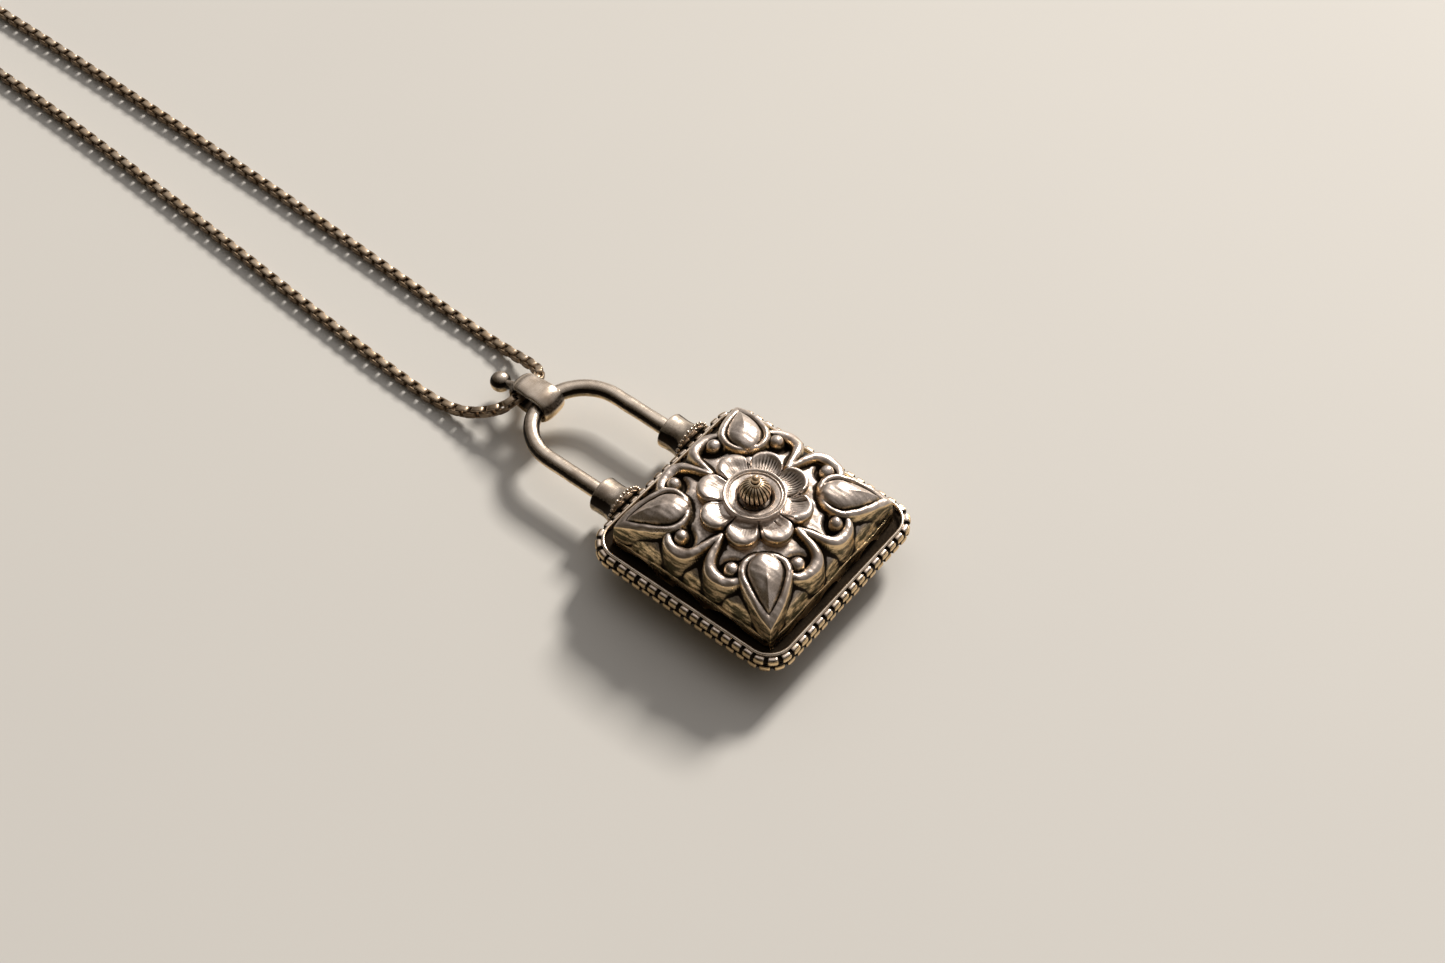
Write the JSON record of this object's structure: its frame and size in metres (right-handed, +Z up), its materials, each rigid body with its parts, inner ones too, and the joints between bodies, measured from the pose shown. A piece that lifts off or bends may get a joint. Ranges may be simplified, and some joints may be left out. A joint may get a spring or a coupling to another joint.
{
  "type": "pendant necklace",
  "caption": "Square padlock-shaped silver amulet pendant with a domed relief front, a wire shackle and a ball-ended bail, lying on its back on a fine chain with a lobster clasp.",
  "frame": {"origin": "on the resting surface, under the middle of the pendant with its bail", "axes": "+Y from the case to the bail and chain, +Z up out of the case's front, +X to the case's right"},
  "size_m": [0.0378, 0.1918, 0.0159],
  "materials": {
    "plate_silver": "antique silver, polished on the relief, dark olive-brown in the recesses",
    "rim_silver": "antique silver beaded wire with black grooves",
    "bead_copper": "oxidised copper-brown ribbed bead",
    "wire_silver": "hand-drawn silver wire, warm and slightly dented",
    "chain_silver": "oxidised silver chain with bright link edges",
    "clasp_silver": "plain silver clasp, lightly worn"
  },
  "bodies": {
    "chain": {"chain_run": "chain_silver", "chain_tail": "chain_silver", "chain_coil": "chain_silver", "end_cap_a": "clasp_silver", "end_cap_b": "clasp_silver", "jump_ring_a": "clasp_silver", "jump_ring_b": "clasp_silver", "clasp_body": "clasp_silver", "clasp_pin": "clasp_silver", "clasp_spring": "clasp_silver"},
    "bail": {"bail_band": "wire_silver", "bail_ball": "wire_silver"},
    "case": {"front_plate": "plate_silver", "back_plate": "plate_silver", "case_band": "rim_silver", "lip_wire_front": "rim_silver", "lip_wire_back": "rim_silver", "beaded_wire_front": "rim_silver", "beaded_wire_side": "rim_silver", "rosette": "plate_silver", "bead_cup": "plate_silver", "ribbed_bead": "bead_copper", "bead_pin": "bead_copper", "bead_finial": "bead_copper", "collar_left": "wire_silver", "collar_right": "wire_silver", "granules": "wire_silver", "shackle": "wire_silver"},
    "clasp_lever": {"clasp_lever": "clasp_silver"}
  },
  "joints": [
    {"name": "bail_on_chain", "type": "hinge", "parent": "chain", "child": "bail", "pos_m": [0, 0.0222, 0.0042], "axis": [-1, 0, 0], "range_deg": [0, 55]},
    {"name": "case_on_bail", "type": "hinge", "parent": "bail", "child": "case", "pos_m": [0, 0.0191, 0.0042], "axis": [-1, 0, 0], "range_deg": [0, 95]},
    {"name": "lever_opens", "type": "hinge", "parent": "chain", "child": "clasp_lever", "pos_m": [0.0088, 0.1462, 0.00155], "axis": [0, 0, -1], "range_deg": [0, 16], "stiffness_Nm_per_rad": 0.002, "springref_deg": -11.46}
  ]
}
